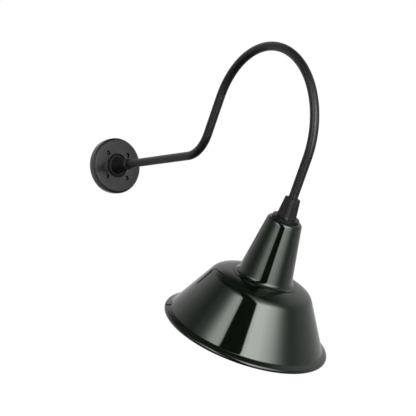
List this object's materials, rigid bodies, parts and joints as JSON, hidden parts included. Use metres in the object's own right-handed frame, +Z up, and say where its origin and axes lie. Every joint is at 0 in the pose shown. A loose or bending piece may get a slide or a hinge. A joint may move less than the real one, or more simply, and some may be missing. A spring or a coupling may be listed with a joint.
{
  "type": "gooseneck wall sconce",
  "caption": "Gooseneck wall lamp: round canopy, tube arm that runs out, arches over and comes down, and an enamelled bell shade with a tall neck.",
  "frame": {"origin": "on the wall plane, at the centre of the canopy gasket's back, which is also the centre of the two outlet-box slots", "axes": "+Y into the wall, -Y out of it along the straight run of the arm, +Z up; the arm and the shade's axis lie in the plane X = 0"},
  "size_m": [0.3552, 0.7541, 0.6916],
  "materials": {
    "plated_steel": "zinc-plated pressed steel",
    "green_steel": "green earthing screw",
    "black_rubber": "closed-cell black rubber",
    "coated_casting": "satin black powder coat on cast aluminium",
    "coated_tube": "satin black powder coat on steel tube",
    "dark_screw": "black oxide steel",
    "fibre": "red vulcanised fibre",
    "black_plastic": "moulded nylon",
    "black_insulation": "black wire insulation",
    "white_insulation": "white wire insulation",
    "green_insulation": "green wire insulation",
    "copper": "bare copper strand",
    "green_enamel": "high-gloss porcelain enamel, green-black outside and white inside, on sheet steel",
    "porcelain": "white glazed porcelain, opaque",
    "brass_plain": "plain brass",
    "brass_nickel": "nickel-plated rolled brass",
    "lamp_glass_white": "frosted white glass",
    "clear_glass": "clear glass",
    "filament": "tungsten wire",
    "black_insulator": "black vitreous insulator, opaque",
    "solder": "solder"
  },
  "bodies": {
    "wall_canopy": {"mounting_plate": "plated_steel", "weld_nuts": "plated_steel", "earth_screw": "green_steel", "wall_gasket": "black_rubber", "canopy": "coated_casting", "canopy_screws": "dark_screw", "hub_washer": "fibre"},
    "arm_and_shade": {"hub": "coated_casting", "hub_set_screw": "dark_screw", "spring_washer": "plated_steel", "hub_nut": "plated_steel", "arm_lock_collar": "coated_casting", "arm_tube": "coated_tube", "arm_bushing": "black_plastic", "wire_black": "black_insulation", "wire_white": "white_insulation", "wire_green": "green_insulation", "wire_ends": "copper", "fitter": "coated_casting", "fitter_set_screw": "dark_screw", "fitter_gasket": "black_rubber", "shade_lock_ring": "plated_steel", "earth_lug": "brass_plain", "earth_lug_screw": "green_steel", "shade_neck": "green_enamel", "shade_neck_foot": "green_enamel", "shade_skirt": "green_enamel", "lampholder_body": "porcelain", "lampholder_screws": "plated_steel", "terminal_plates": "brass_plain", "terminal_screws": "brass_plain", "lampholder_shell": "brass_nickel", "centre_contact": "brass_plain"},
    "lamp": {"lamp_glass": "lamp_glass_white", "lamp_stem": "clear_glass", "lamp_filament": "filament", "lamp_cap": "brass_nickel", "lamp_insulator": "black_insulator", "lamp_contact": "solder"}
  },
  "joints": [
    {"name": "arm_swivel", "type": "hinge", "parent": "wall_canopy", "child": "arm_and_shade", "pos_m": [0, 0, 0], "axis": [0, -1, 0], "range_deg": [-90, 90]},
    {"name": "lamp_unscrew", "type": "slide", "parent": "arm_and_shade", "child": "lamp", "axis": [0, 0.4633, -0.8862], "range_m": [0, 0.025]}
  ]
}
